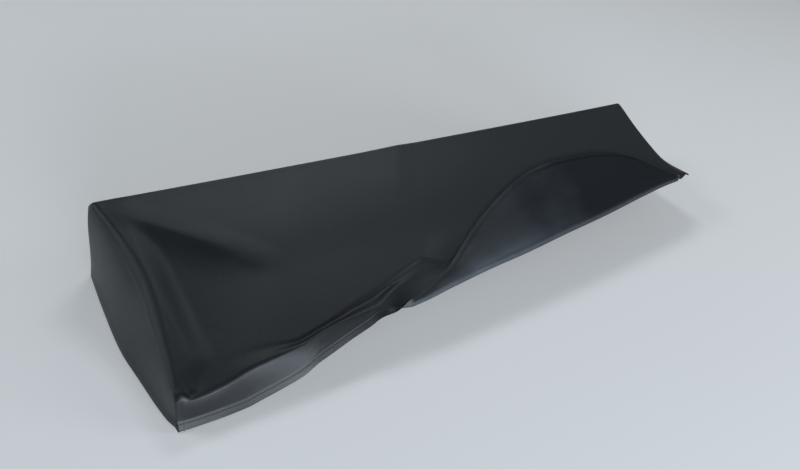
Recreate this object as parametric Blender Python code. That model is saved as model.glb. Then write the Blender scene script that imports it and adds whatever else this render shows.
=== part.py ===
import math

import bpy
import numpy as np

# Keyboard dust cover: one cloth with boxed corners that keeps the shape it has in use.
# Its front right part is turned back over the top, so that part shows the inside of the cloth.
# Heights are over the surface that the hem stands on; RAISE moves the origin to the mount under the top.

# sizes in metres
HALF_LENGTH = 0.480
BACK_Y = 0.152
TOP_AT_CENTRE = 0.082
TOP_SLOPE = 0.2485
THICKNESS = 0.002
EDGE_RADIUS = 0.007
END_RADIUS = 0.013
BACK_FLARE = 0.005
BACK_WAVE = 0.0015
HEM_GAP = 0.0050
CUFF_PUFF = 0.0040
DISH_DEPTH = 0.0055
BACK_SAG = 0.0026
MIDDLE_SAG = 0.0020
TAIL = 0.012
TAIL_TURNED = 0.004
SLOPE_DEGREES = 13.95
RAISE = 0.0792

# rows of the mesh: each drop, the top, and the front zone split in band, roll and cuff
DROP_ROWS = 16
TOP_ROWS = 16
BAND_ROWS = 6
ROLL_ROWS = 5
CUFF_ROWS = 5
FINE = 120

STATIONS = (
    -0.480, -0.476, -0.470, -0.455, -0.435, -0.410, -0.380, -0.350, -0.322, -0.300, -0.280, -0.260,
    -0.240, -0.222, -0.205, -0.190, -0.175, -0.162, -0.150, -0.139, -0.128, -0.115, -0.100, -0.085,
    -0.070, -0.050, -0.025, 0.000, 0.030, 0.065, 0.105, 0.145, 0.185, 0.225, 0.265, 0.300,
    0.335, 0.370, 0.400, 0.425, 0.445, 0.458, 0.467, 0.474, 0.480,
)

# ridge between the top and the front zone
RIDGE = (
    # station, y, lift over the plane, angle below level, distance to the valley behind, valley depth
    (-0.480, -0.1555, 0.000, 58.0, 0.040, 0.000),
    (-0.416, -0.1560, -0.002, 52.0, 0.040, 0.000),
    (-0.369, -0.1480, 0.003, 44.0, 0.038, 0.001),
    (-0.322, -0.1420, 0.010, 38.0, 0.026, 0.002),
    (-0.290, -0.1380, 0.016, 36.0, 0.024, 0.003),
    (-0.264, -0.1340, 0.018, 40.0, 0.027, 0.003),
    (-0.232, -0.1300, 0.016, 44.0, 0.033, 0.003),
    (-0.206, -0.1240, 0.015, 40.0, 0.034, 0.003),
    (-0.175, -0.1080, 0.016, 32.0, 0.028, 0.003),
    (-0.150, -0.0930, 0.014, 30.0, 0.022, 0.003),
    (-0.128, -0.0790, 0.009, 32.0, 0.020, 0.002),
    (-0.108, -0.0670, 0.004, 34.0, 0.020, 0.001),
    (-0.087, -0.0590, 0.001, 36.0, 0.025, 0.000),
    (-0.055, -0.0670, 0.000, 34.0, 0.030, 0.000),
    (0.000, -0.0600, 0.000, 24.0, 0.030, 0.000),
    (0.060, -0.0480, 0.000, 16.0, 0.030, 0.000),
    (0.120, -0.0380, 0.000, SLOPE_DEGREES, 0.030, 0.000),
    (0.300, -0.0120, 0.000, SLOPE_DEGREES, 0.030, 0.000),
    (0.480, 0.0200, 0.000, SLOPE_DEGREES, 0.030, 0.000),
)

# lower edge of the base layer: the hem at the left, the line of the fold from -0.15 on
EDGE = (
    # station, y, z, angle below level
    (-0.480, -0.1575, 0.0000, 86.0),
    (-0.430, -0.1585, 0.0000, 84.0),
    (-0.395, -0.1575, 0.0005, 80.0),
    (-0.370, -0.1570, 0.0050, 76.0),
    (-0.340, -0.1575, 0.0140, 72.0),
    (-0.316, -0.1580, 0.0230, 68.0),
    (-0.286, -0.1565, 0.0385, 60.0),
    (-0.262, -0.1530, 0.0450, 54.0),
    (-0.234, -0.1460, 0.0500, 46.0),
    (-0.205, -0.1380, 0.0530, 36.0),
    (-0.184, -0.1300, 0.0545, 26.0),
    (-0.162, -0.1270, 0.0530, 18.0),
    (-0.124, -0.1225, 0.0530, SLOPE_DEGREES),
    (-0.071, -0.1130, 0.0552, SLOPE_DEGREES),
    (0.018, -0.0995, 0.0583, SLOPE_DEGREES),
    (0.065, -0.0940, 0.0598, SLOPE_DEGREES),
    (0.153, -0.0810, 0.0631, SLOPE_DEGREES),
    (0.247, -0.0680, 0.0663, SLOPE_DEGREES),
    (0.351, -0.0520, 0.0703, SLOPE_DEGREES),
    (0.437, -0.0420, 0.0726, SLOPE_DEGREES),
    (0.480, -0.0400, 0.0732, SLOPE_DEGREES),
)

# turned-back part, by station along the fold
CUFF = (
    # station, turn in degrees, roll radius, hem x, hem y
    (-0.200, 0.0, 0.0035, -0.200, -0.130),
    (-0.175, 20.0, 0.0035, -0.175, -0.126),
    (-0.162, 70.0, 0.0035, -0.162, -0.124),
    (-0.150, 130.0, 0.0035, -0.152, -0.121),
    (-0.139, 180.0, 0.0036, -0.142, -0.119),
    (-0.120, 180.0, 0.0040, -0.124, -0.113),
    (-0.080, 180.0, 0.0048, -0.090, -0.099),
    (-0.040, 180.0, 0.0052, -0.056, -0.083),
    (0.000, 180.0, 0.0055, -0.022, -0.061),
    (0.040, 180.0, 0.0058, 0.012, -0.038),
    (0.080, 180.0, 0.0060, 0.046, -0.017),
    (0.120, 180.0, 0.0062, 0.081, 0.002),
    (0.160, 180.0, 0.0062, 0.118, 0.020),
    (0.200, 180.0, 0.0062, 0.156, 0.036),
    (0.250, 180.0, 0.0062, 0.204, 0.049),
    (0.300, 180.0, 0.0060, 0.256, 0.055),
    (0.350, 180.0, 0.0056, 0.310, 0.054),
    (0.400, 180.0, 0.0050, 0.366, 0.043),
    (0.430, 180.0, 0.0045, 0.399, 0.024),
    (0.450, 180.0, 0.0040, 0.423, 0.000),
    (0.462, 180.0, 0.0036, 0.438, -0.020),
    (0.469, 120.0, 0.0035, 0.447, -0.032),
    (0.475, 50.0, 0.0035, 0.452, -0.038),
    (0.480, 0.0, 0.0035, 0.456, -0.042),
)

# how far the end ridges are drawn in
ENDS = (
    # y, left inset, right inset
    (-0.160, 0.001, 0.022),
    (-0.141, 0.002, 0.022),
    (-0.099, 0.007, 0.022),
    (-0.048, 0.012, 0.022),
    (0.019, 0.018, 0.020),
    (0.047, 0.017, 0.017),
    (0.084, 0.014, 0.013),
    (0.110, 0.010, 0.009),
    (0.142, 0.004, 0.003),
    (0.160, 0.001, 0.001),
)

# hem of the left end drop
LEFT_HEM = (
    # y of the ridge, x, y, z
    (-0.1560, -0.4775, -0.1595, 0.001),
    (-0.1350, -0.4840, -0.1380, 0.001),
    (-0.0640, -0.4905, -0.0660, 0.001),
    (-0.0090, -0.4940, -0.0100, 0.001),
    (0.0800, -0.4885, 0.0820, 0.001),
    (0.1570, -0.4810, 0.1570, 0.001),
)

# hem of the right end drop, which rises and flares toward the fold
RIGHT_HEM = (
    # y of the ridge, x, y, z, angle below level at the ridge
    (-0.0410, 0.4985, -0.0270, 0.0650, 6.0),
    (0.0000, 0.5005, 0.0060, 0.0570, 6.0),
    (0.0250, 0.4990, 0.0300, 0.0410, 14.0),
    (0.0550, 0.4950, 0.0580, 0.0190, 34.0),
    (0.0900, 0.4900, 0.0920, 0.0040, 46.0),
    (0.1200, 0.4860, 0.1210, 0.0010, 48.0),
    (0.1570, 0.4820, 0.1570, 0.0010, 48.0),
)


def smooth(table, column, value):
    """Smooth curve through one column of a table, without overshoot."""
    xs = np.array([row[0] for row in table])
    ys = np.array([row[column] for row in table])
    step = np.diff(xs)
    rise = np.diff(ys) / step
    tangent = np.concatenate(([rise[0]], np.zeros(len(xs) - 2), [rise[-1]]))
    for i in range(1, len(xs) - 1):
        if rise[i - 1] * rise[i] > 0:
            w0, w1 = 2 * step[i] + step[i - 1], step[i] + 2 * step[i - 1]
            tangent[i] = (w0 + w1) / (w0 / rise[i - 1] + w1 / rise[i])
    value = np.clip(value, xs[0], xs[-1])
    i = np.clip(np.searchsorted(xs, value) - 1, 0, len(step) - 1)
    t = (value - xs[i]) / step[i]
    return ((1 + 2 * t) * (1 - t) ** 2 * ys[i] + t * (1 - t) ** 2 * step[i] * tangent[i]
            + t * t * (3 - 2 * t) * ys[i + 1] + t * t * (t - 1) * step[i] * tangent[i + 1])


def ease(t):
    """Soft step from zero to one."""
    t = np.clip(t, 0.0, 1.0)
    return t * t * (3 - 2 * t)


def bump(t):
    """Soft hill, one at zero and nothing beyond one."""
    t = np.clip(np.abs(t), 0.0, 1.0)
    return (1 - t * t) ** 2


def plane(y):
    return TOP_AT_CENTRE + TOP_SLOPE * y


def place(station, y):
    """x of a station at one y: both end ridges are drawn in."""
    left = smooth(ENDS, 1, y) * np.clip((-0.34 - station) / 0.14, 0.0, 1.0) ** 1.6
    right = smooth(ENDS, 2, y) * np.clip((station - 0.30) / 0.18, 0.0, 1.0) ** 1.6
    return station + left - right


def front_hump(station, y):
    """Raised ridge at the front of the top with the soft valley behind it."""
    behind = (y - smooth(RIDGE, 1, station)) / smooth(RIDGE, 4, station)
    height, depth = smooth(RIDGE, 2, station), smooth(RIDGE, 5, station)
    return (height + depth) * (1 - ease(behind)) - depth * (1 - ease((behind - 1) / 1.2))


def corner_dish(x, y):
    """Hollow between the left edge, the front edge and a diagonal from the back left corner."""
    along = (x + 0.470) * 0.761 - (y - 0.145) * 0.649
    across = -(x + 0.470) * 0.649 - (y - 0.145) * 0.761
    inside = ease((x + 0.462) / 0.050) * ease((y + 0.150) / 0.060) * (1 - ease((x + 0.340) / 0.130))
    crest = 0.0012 * bump((across + 0.014) / 0.030) * ease(along / 0.04) * (1 - ease((along - 0.20) / 0.08))
    return crest - DISH_DEPTH * ease(across / 0.045) * inside


def lift(station, y):
    """Unevenness of the top over the plane through its back and front edges."""
    x = place(station, y)
    sag = -BACK_SAG * bump((y - BACK_Y) / 0.12) * (1 - (x / HALF_LENGTH) ** 4)
    middle = -MIDDLE_SAG * bump((y - 0.03) / 0.13) * bump(x / 0.40)
    return front_hump(station, y) + corner_dish(x, y) + sag + middle


def rounding(distance, radius):
    """Drop of a rounded edge at a distance in from its middle line."""
    reach = radius * math.sin(math.radians(45))
    off = np.clip(reach - distance, 0.0, reach)
    return radius - np.sqrt(radius ** 2 - off ** 2)


def top_points(station, y):
    """Points of the top at one station."""
    y = np.atleast_1d(y)
    turned_down = 1 - ease((station + 0.42) / 0.16)
    z = (plane(y) + lift(station, y) - rounding(BACK_Y - y, EDGE_RADIUS)
         - rounding(station + HALF_LENGTH, END_RADIUS) - rounding(HALF_LENGTH - station, EDGE_RADIUS)
         - rounding(y - smooth(RIDGE, 1, station), EDGE_RADIUS) * turned_down)
    return np.stack((place(station, y), y, z), axis=1)


def bezier(start, end, start_way, end_way, pull):
    """Points of a soft curve between two points with given directions at its ends."""
    start, end = np.array(start, float), np.array(end, float)
    span = np.linalg.norm(end - start) * pull
    a, b = start + np.array(start_way) * span, end - np.array(end_way) * span
    t = np.linspace(0.0, 1.0, FINE)[:, None]
    return (1 - t) ** 3 * start + 3 * t * (1 - t) ** 2 * a + 3 * t * t * (1 - t) * b + t ** 3 * end


def down(angle, outward):
    """Direction below level, toward the given side."""
    a = math.radians(angle)
    return np.array(outward) * math.cos(a) + np.array((0.0, 0.0, -math.sin(a)))


def lengths(points):
    steps = np.linalg.norm(np.diff(points, axis=0), axis=1)
    return np.concatenate(([0.0], np.cumsum(steps)))


def resample(points, at):
    """Points at the given fractions of the length of a polyline."""
    run = lengths(points)
    return np.stack([np.interp(np.array(at) * run[-1], run, points[:, axis]) for axis in range(3)], axis=1)


def band_line(station):
    """Base layer in front of the ridge: down to the hem at the left, on to the fold at the right."""
    start = top_points(station, smooth(RIDGE, 1, station))[0]
    edge_y = float(smooth(EDGE, 1, station))
    end = np.array((place(station, edge_y), edge_y, smooth(EDGE, 2, station)))
    forward = (end - start) * (1, 1, 0)
    forward /= np.linalg.norm(forward)
    return bezier(start, end, down(smooth(RIDGE, 3, station), forward),
                  down(smooth(EDGE, 3, station), forward), 0.36)


def base_heights():
    """Height of the base layer at the front, on a grid of stations and y."""
    stations = np.linspace(-0.20, HALF_LENGTH, FINE)
    ys = np.linspace(-0.165, 0.10, 2 * FINE)
    grid = []
    for station in stations:
        band = band_line(station)[::-1]
        top = top_points(station, np.linspace(band[-1, 1] + 0.001, 0.10, FINE))
        whole = np.vstack((band, top))
        grid.append(np.interp(ys, whole[:, 1], whole[:, 2]))
    return stations, ys, np.array(grid)


def height_at(field, x, y):
    """Heights of the base layer at some places."""
    stations, ys, grid = field
    station = np.array(x, float)
    for _ in range(4):
        station = station + x - place(station, y)
    u = np.clip((station - stations[0]) / (stations[1] - stations[0]), 0, len(stations) - 1.001)
    v = np.clip((y - ys[0]) / (ys[1] - ys[0]), 0, len(ys) - 1.001)
    i, j = u.astype(int), v.astype(int)
    u, v = u - i, v - j
    return ((1 - u) * (1 - v) * grid[i, j] + u * (1 - v) * grid[i + 1, j]
            + (1 - u) * v * grid[i, j + 1] + u * v * grid[i + 1, j + 1])


def cuff_line(station, start, field):
    """Turned-back part from the end of the roll to its hem, lying over the base layer."""
    t = np.linspace(0.0, 1.0, FINE)[1:]
    hem = np.array((smooth(CUFF, 3, station), smooth(CUFF, 4, station)))
    x = start[0] + (hem[0] - start[0]) * t
    y = start[1] + (hem[1] - start[1]) * t
    start_gap = start[2] - height_at(field, start[:1], start[1:2])
    gap = HEM_GAP + (start_gap - HEM_GAP) * (1 - t) ** 1.6
    puff = CUFF_PUFF * np.sin(math.pi * t ** 0.8) * ease((hem[1] - start[1]) / 0.08)
    return np.stack((x, y, height_at(field, x, y) + gap + puff), axis=1)


def front_line(station, field):
    """Whole front zone of a station: rows for the band, the roll and the turned-back part."""
    band = band_line(station)
    turn = math.radians(smooth(CUFF, 1, station)) if station > CUFF[0][0] else 0.0
    open_part = 1 - turn / math.pi
    tail = TAIL_TURNED + (TAIL - TAIL_TURNED) * open_part
    if open_part > 0:
        # the cloth that is not yet turned comes off the end of the band
        band = resample(band, np.linspace(0.0, 1 - tail * open_part / lengths(band)[-1], FINE))
    radius = float(smooth(CUFF, 2, station))
    slope = math.radians(smooth(EDGE, 3, station))
    ahead = np.array((0.0, -math.cos(slope), -math.sin(slope)))
    up = np.array((0.0, -math.sin(slope), math.cos(slope)))
    angles = np.linspace(0.0, max(turn, 1e-4), 40)[1:, None]
    roll = band[-1] + radius * (up * (1 - np.cos(angles)) + ahead * np.sin(angles))
    if open_part > 0.001:
        way = up * math.sin(turn) + ahead * math.cos(turn)
        rest = roll[-1] + way * tail * np.linspace(0.0, 1.0, FINE)[1:, None]
    else:
        rest = cuff_line(station, roll[-1], field)
    whole = np.vstack((band, roll, rest))
    total = lengths(whole)[-1]
    own = ease((station + 0.34) / 0.16)
    rows = BAND_ROWS + ROLL_ROWS + CUFF_ROWS
    band_part = (1 - own) * BAND_ROWS / rows + own * lengths(band)[-1] / total
    roll_length = max(radius * turn, 0.4 * tail)
    roll_part = (1 - own) * ROLL_ROWS / rows + own * roll_length / total
    fractions = np.concatenate((
        np.linspace(0.0, band_part, BAND_ROWS + 1),
        np.linspace(band_part, band_part + roll_part, ROLL_ROWS + 1)[1:],
        np.linspace(band_part + roll_part, 1.0, CUFF_ROWS + 1)[1:],
    ))
    return resample(whole, fractions)


def back_line(station):
    """Back drop of a station, from the hem up to the back ridge."""
    ridge = top_points(station, BACK_Y)[0]
    hem_y = BACK_Y + BACK_FLARE + BACK_WAVE * math.sin(9 * station)
    hem = np.array((place(station, BACK_Y), hem_y, THICKNESS / 2))
    line = bezier(ridge, hem, down(50, (0, 1, 0)), down(88, (0, 1, 0)), 0.30)
    return resample(line, np.linspace(0, 1, DROP_ROWS + 1))[::-1]


def top_line(station):
    """Top of a station from the back ridge to the front ridge, closer at both ends."""
    t = np.linspace(0, 1, TOP_ROWS + 1)
    t = t - 0.08 * np.sin(2 * math.pi * t)
    return top_points(station, BACK_Y + (smooth(RIDGE, 1, station) - BACK_Y) * t)


def end_line(start, table, out, angle, end_angle):
    """End drop from one point of a ridge down to the hem in the table."""
    hem = [float(smooth(table, column, start[1])) for column in (1, 2, 3)]
    line = bezier(start, hem, down(angle, (out, 0, 0)), down(end_angle, (out, 0, 0)), 0.34)
    return resample(line, np.linspace(0, 1, DROP_ROWS + 1))[1:]


def build_sheet():
    """Points and faces of the cloth's middle surface."""
    field = base_heights()
    points, faces, sheet = [], [], []

    def add(line):
        points.extend(line)
        return list(range(len(points) - len(line), len(points)))

    def join(rows):
        for a, b in zip(rows, rows[1:]):
            for k in range(len(a) - 1):
                faces.append((a[k], a[k + 1], b[k + 1], b[k]))

    for station in STATIONS:
        sheet.append(add(np.vstack((back_line(station), top_line(station)[1:], front_line(station, field)[1:]))))
    join(sheet)

    # left end drop between its two corner seams
    first = sheet[0]
    rows = [first[:DROP_ROWS + 1][::-1]]
    for v in first[DROP_ROWS + 1:DROP_ROWS + TOP_ROWS]:
        rows.append([v] + add(end_line(points[v], LEFT_HEM, -1, 66, 70)))
    rows.append(first[DROP_ROWS + TOP_ROWS:])
    join(rows)

    # right end drop, free along its front edge
    last = sheet[-1]
    rows = [last[:DROP_ROWS + 1][::-1]]
    for v in last[DROP_ROWS + 1:]:
        angle = float(smooth(RIGHT_HEM, 4, points[v][1]))
        rows.append([v] + add(end_line(points[v], RIGHT_HEM, 1, angle, min(86, angle + 40))))
    join(rows[::-1])
    return [tuple(p - np.array((0, 0, RAISE))) for p in points], faces


def make_material():
    material = bpy.data.materials.new("woven_charcoal_cloth")
    material.use_nodes = True
    shader = material.node_tree.nodes["Principled BSDF"]
    shader.inputs["Base Color"].default_value = (0.030, 0.034, 0.040, 1.0)
    shader.inputs["Roughness"].default_value = 0.85
    shader.inputs["Specular IOR Level"].default_value = 0.3
    return material


def make_cover():
    points, faces = build_sheet()
    mesh = bpy.data.meshes.new("dust_cover")
    mesh.from_pydata(points, [], faces)
    cover = bpy.data.objects.new("dust_cover", mesh)
    bpy.context.scene.collection.objects.link(cover)
    solid = cover.modifiers.new("thickness", "SOLIDIFY")
    solid.thickness = THICKNESS
    solid.offset = 0.0
    bpy.context.view_layer.objects.active = cover
    bpy.ops.object.modifier_apply(modifier=solid.name)
    mesh.materials.append(make_material())
    for polygon in mesh.polygons:
        polygon.use_smooth = True
    return cover


for thing in list(bpy.data.objects):
    bpy.data.objects.remove(thing, do_unlink=True)

make_cover()
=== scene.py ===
import math

import bpy
import numpy as np
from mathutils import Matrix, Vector


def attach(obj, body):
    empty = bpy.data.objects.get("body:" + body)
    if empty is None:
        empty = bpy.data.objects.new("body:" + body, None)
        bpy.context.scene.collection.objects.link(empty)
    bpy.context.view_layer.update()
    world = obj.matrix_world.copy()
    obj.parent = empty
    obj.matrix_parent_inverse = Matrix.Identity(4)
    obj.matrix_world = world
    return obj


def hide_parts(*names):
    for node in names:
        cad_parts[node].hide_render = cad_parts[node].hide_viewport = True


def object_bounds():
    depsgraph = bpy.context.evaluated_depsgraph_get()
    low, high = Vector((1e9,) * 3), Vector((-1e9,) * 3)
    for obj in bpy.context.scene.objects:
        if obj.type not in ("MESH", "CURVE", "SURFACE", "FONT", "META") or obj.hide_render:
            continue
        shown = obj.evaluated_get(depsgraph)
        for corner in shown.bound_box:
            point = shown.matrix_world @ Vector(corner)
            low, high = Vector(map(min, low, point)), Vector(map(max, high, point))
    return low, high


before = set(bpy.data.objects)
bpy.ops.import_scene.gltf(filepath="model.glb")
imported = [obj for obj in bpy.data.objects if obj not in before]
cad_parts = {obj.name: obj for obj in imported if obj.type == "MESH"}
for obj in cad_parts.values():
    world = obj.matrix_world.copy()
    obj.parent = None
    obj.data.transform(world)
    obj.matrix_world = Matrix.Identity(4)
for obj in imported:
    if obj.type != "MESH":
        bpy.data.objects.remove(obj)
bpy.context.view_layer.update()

# One cloth with boxed corners. It keeps the shape it has in use, and its front right part is
# turned back over the top, so that part shows the inside. Heights are over the floor.

cloth = {
    "halfLength": 0.480,
    "backY": 0.152,
    "topAtCentre": 0.082,
    "topSlope": 0.2485,
    "thickness": 0.0015,      # at the doubled hem
    "single": 0.70,           # share of it away from the hem
    "hemWidth": 0.0120,
    "hemStepWidth": 0.0010,
    "hemThinning": 0.0008,    # half the width over which the doubled cloth thins to single
    "seamRise": 0.0009,
    "edgeRadius": 0.007,
    "endRadius": 0.010,
    "endRadiusMore": 0.016,   # added to it at the middle of the left end
    "endRadiusAt": (0.005, 0.165),      # y of that middle, and how far it reaches
    "frontRoundFades": (-0.42, 0.16),   # station where it begins, and the length
    "drawnLeft": (-0.34, 0.14),         # the same for the drawn-in ends
    "drawnRight": (0.30, 0.18),
    "drawnPower": 1.6,
    "backFlare": 0.005,
    "backWave": 0.0015,
    "backWaves": 9.0,         # radians for each metre
    "backAngles": (50.0, 88.0),         # below level, at the top and at the hem
    "backPulls": (0.20, 0.30),
    "bandPulls": (0.34, 0.36),
    "endPulls": (0.20, 0.36),
    "backSag": 0.0017,
    "backSagWidth": 0.12,
    "middleSag": 0.0020,
    "middleSagAt": 0.03,
    "middleSagSize": (0.40, 0.13),
    "tail": 0.012,            # length past the roll before it is turned back
    "tailTurned": 0.004,
    "slopeDegrees": 13.95,
    "raise": 0.0792,          # height of the frame's origin over the floor
    "marks": (-0.480, -0.460, -0.21, -0.13, 0.455, 0.480),
    "spacings": (0.0022, 0.0045, 0.0030, 0.0045, 0.0022),   # of stations between the marks
    "dropRows": 26,
    "topRows": 70,
    "topRowsShift": 0.08,     # closer rows at the back and front of the top
    "bandRows": 16,
    "rollRows": 10,
    "cuffRows": 34,
    "rowsFollow": (-0.34, 0.16),        # where the rows begin to follow the fold
    "rollLeast": 0.4,
    "hemCloser": 0.7,         # rows draw together at the turned-back hem
    "hemCloserFrom": (-0.12, 0.10),
    "fine": 240,              # points of a line before it is spaced out
    "rollFine": 60,
}
half = cloth["halfLength"]
level = cloth["slopeDegrees"]

# ridge between the top and the front:
# station, y, lift, angle below level, distance to the crease behind it, depth of the hollow there
ridge = (
    (-0.480, -0.1520, 0.000, 76.0, 0.040, 0.0000),
    (-0.466, -0.1565, 0.000, 76.0, 0.040, 0.0000),
    (-0.424, -0.1535, 0.000, 74.0, 0.036, 0.0000),
    (-0.376, -0.1445, 0.002, 62.0, 0.030, 0.0004),
    (-0.340, -0.1405, 0.004, 53.0, 0.022, 0.0008),
    (-0.311, -0.1376, 0.006, 45.0, 0.015, 0.0012),
    (-0.275, -0.1276, 0.0065, 40.0, 0.013, 0.0015),
    (-0.248, -0.1236, 0.0065, 38.0, 0.017, 0.0018),
    (-0.217, -0.1206, 0.0065, 34.0, 0.025, 0.0022),
    (-0.191, -0.1176, 0.006, 26.0, 0.029, 0.0024),
    (-0.170, -0.1060, 0.005, 20.0, 0.023, 0.0026),
    (-0.152, -0.0955, 0.003, 18.0, 0.018, 0.0028),
    (-0.128, -0.0870, 0.000, 18.0, 0.018, 0.0028),
    (-0.108, -0.0790, -0.002, 18.0, 0.017, 0.0028),
    (-0.090, -0.0730, -0.003, 18.0, 0.016, 0.0028),
    (-0.072, -0.0760, -0.003, 18.0, 0.013, 0.0022),
    (-0.055, -0.0800, -0.001, 18.0, 0.010, 0.0010),
    (-0.030, -0.0740, 0.000, 20.0, 0.020, 0.0000),
    (0.000, -0.0600, 0.000, 20.0, 0.030, 0.000),
    (0.060, -0.0480, 0.000, 16.0, 0.030, 0.000),
    (0.120, -0.0380, 0.000, level, 0.030, 0.000),
    (0.300, -0.0120, 0.000, level, 0.030, 0.000),
    (0.480, 0.0200, 0.000, level, 0.030, 0.000),
)

# lower edge of the base layer, the hem at the left and the fold from -0.15 on: station, y, z, angle
edge = (
    (-0.480, -0.1602, 0.0000, 66.0),
    (-0.430, -0.1600, 0.0000, 66.0),
    (-0.395, -0.1585, 0.0005, 68.0),
    (-0.370, -0.1570, 0.0050, 68.0),
    (-0.342, -0.1563, 0.0120, 66.0),
    (-0.320, -0.1558, 0.0190, 62.0),
    (-0.2926, -0.1527, 0.0315, 56.0),
    (-0.2705, -0.1480, 0.0360, 54.0),
    (-0.2425, -0.1410, 0.0410, 50.0),
    (-0.2116, -0.1342, 0.0460, 44.0),
    (-0.1878, -0.1278, 0.0505, 32.0),
    (-0.1634, -0.1262, 0.0515, 20.0),
    (-0.124, -0.1225, 0.0530, level),
    (-0.071, -0.1130, 0.0552, level),
    (0.018, -0.0995, 0.0583, level),
    (0.065, -0.0940, 0.0598, level),
    (0.153, -0.0810, 0.0631, level),
    (0.247, -0.0680, 0.0663, level),
    (0.351, -0.0520, 0.0703, level),
    (0.437, -0.0420, 0.0726, level),
    (0.480, -0.0400, 0.0732, level),
)

# part turned back: station, turn in degrees, roll radius, hem x, hem y
cuff = (
    (-0.200, 0.0, 0.0035, -0.200, -0.130),
    (-0.175, 20.0, 0.0035, -0.175, -0.126),
    (-0.162, 70.0, 0.0035, -0.162, -0.124),
    (-0.150, 130.0, 0.0035, -0.152, -0.121),
    (-0.139, 180.0, 0.0036, -0.142, -0.119),
    (-0.120, 180.0, 0.0040, -0.124, -0.113),
    (-0.080, 180.0, 0.0048, -0.090, -0.099),
    (-0.040, 180.0, 0.0052, -0.056, -0.083),
    (0.000, 180.0, 0.0055, -0.022, -0.061),
    (0.040, 180.0, 0.0058, 0.012, -0.038),
    (0.080, 180.0, 0.0060, 0.046, -0.017),
    (0.120, 180.0, 0.0062, 0.081, 0.002),
    (0.160, 180.0, 0.0062, 0.118, 0.020),
    (0.200, 180.0, 0.0062, 0.156, 0.036),
    (0.250, 180.0, 0.0062, 0.204, 0.049),
    (0.300, 180.0, 0.0060, 0.256, 0.055),
    (0.350, 180.0, 0.0056, 0.310, 0.054),
    (0.400, 180.0, 0.0050, 0.366, 0.043),
    (0.430, 180.0, 0.0045, 0.399, 0.024),
    (0.450, 180.0, 0.0040, 0.423, 0.000),
    (0.462, 180.0, 0.0036, 0.438, -0.020),
    (0.469, 120.0, 0.0035, 0.447, -0.032),
    (0.475, 50.0, 0.0035, 0.452, -0.038),
    (0.480, 0.0, 0.0035, 0.456, -0.042),
)

# how far the end ridges are drawn in: y, left, right
ends = (
    (-0.160, 0.001, 0.022),
    (-0.141, 0.002, 0.022),
    (-0.099, 0.007, 0.022),
    (-0.048, 0.012, 0.022),
    (0.019, 0.018, 0.020),
    (0.047, 0.017, 0.017),
    (0.084, 0.014, 0.013),
    (0.110, 0.010, 0.009),
    (0.142, 0.004, 0.003),
    (0.160, 0.001, 0.001),
)

# hem of the left end: y of the ridge, then x, y, z
leftHem = (
    (-0.1560, -0.4775, -0.1595, 0.001),
    (-0.1350, -0.4840, -0.1380, 0.001),
    (-0.0640, -0.4905, -0.0660, 0.001),
    (-0.0090, -0.4940, -0.0100, 0.001),
    (0.0800, -0.4885, 0.0820, 0.001),
    (0.1570, -0.4810, 0.1570, 0.001),
)

# hem of the right end, which rises and flares toward the fold: y of the ridge, x, y, z, angle
rightHem = (
    (-0.0410, 0.4985, -0.0270, 0.0650, 6.0),
    (0.0000, 0.5005, 0.0060, 0.0570, 6.0),
    (0.0250, 0.4990, 0.0300, 0.0410, 14.0),
    (0.0550, 0.4950, 0.0580, 0.0190, 34.0),
    (0.0900, 0.4900, 0.0920, 0.0040, 46.0),
    (0.1200, 0.4860, 0.1210, 0.0010, 48.0),
    (0.1570, 0.4820, 0.1570, 0.0010, 48.0),
)


def smooth(table, column, value):  # soft curve through one column, without overshoot
    xs = np.array([row[0] for row in table])
    ys = np.array([row[column] for row in table])
    step = np.diff(xs)
    rise = np.diff(ys) / step
    tangent = np.concatenate(([rise[0]], np.zeros(len(xs) - 2), [rise[-1]]))
    for i in range(1, len(xs) - 1):
        if rise[i - 1] * rise[i] > 0:
            w0, w1 = 2 * step[i] + step[i - 1], step[i] + 2 * step[i - 1]
            tangent[i] = (w0 + w1) / (w0 / rise[i - 1] + w1 / rise[i])
    value = np.clip(value, xs[0], xs[-1])
    i = np.clip(np.searchsorted(xs, value) - 1, 0, len(step) - 1)
    t = (value - xs[i]) / step[i]
    return ((1 + 2 * t) * (1 - t) ** 2 * ys[i] + t * (1 - t) ** 2 * step[i] * tangent[i]
            + t * t * (3 - 2 * t) * ys[i + 1] + t * t * (t - 1) * step[i] * tangent[i + 1])


def ease(t):  # soft step from zero to one
    t = np.clip(t, 0.0, 1.0)
    return t * t * (3 - 2 * t)


def bump(t):  # soft hill, one at zero and nothing beyond one
    t = np.clip(np.abs(t), 0.0, 1.0)
    return (1 - t * t) ** 2


def grows(value, span):  # from zero to one over a span that is given by its start and length
    return ease((value - span[0]) / span[1])


def plane(y):
    return cloth["topAtCentre"] + cloth["topSlope"] * y


def place(station, y):  # x of a station at one y
    (leftFrom, leftLength), (rightFrom, rightLength) = cloth["drawnLeft"], cloth["drawnRight"]
    left = np.clip((leftFrom - station) / leftLength, 0.0, 1.0) ** cloth["drawnPower"]
    right = np.clip((station - rightFrom) / rightLength, 0.0, 1.0) ** cloth["drawnPower"]
    return station + smooth(ends, 1, y) * left - smooth(ends, 2, y) * right


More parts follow.
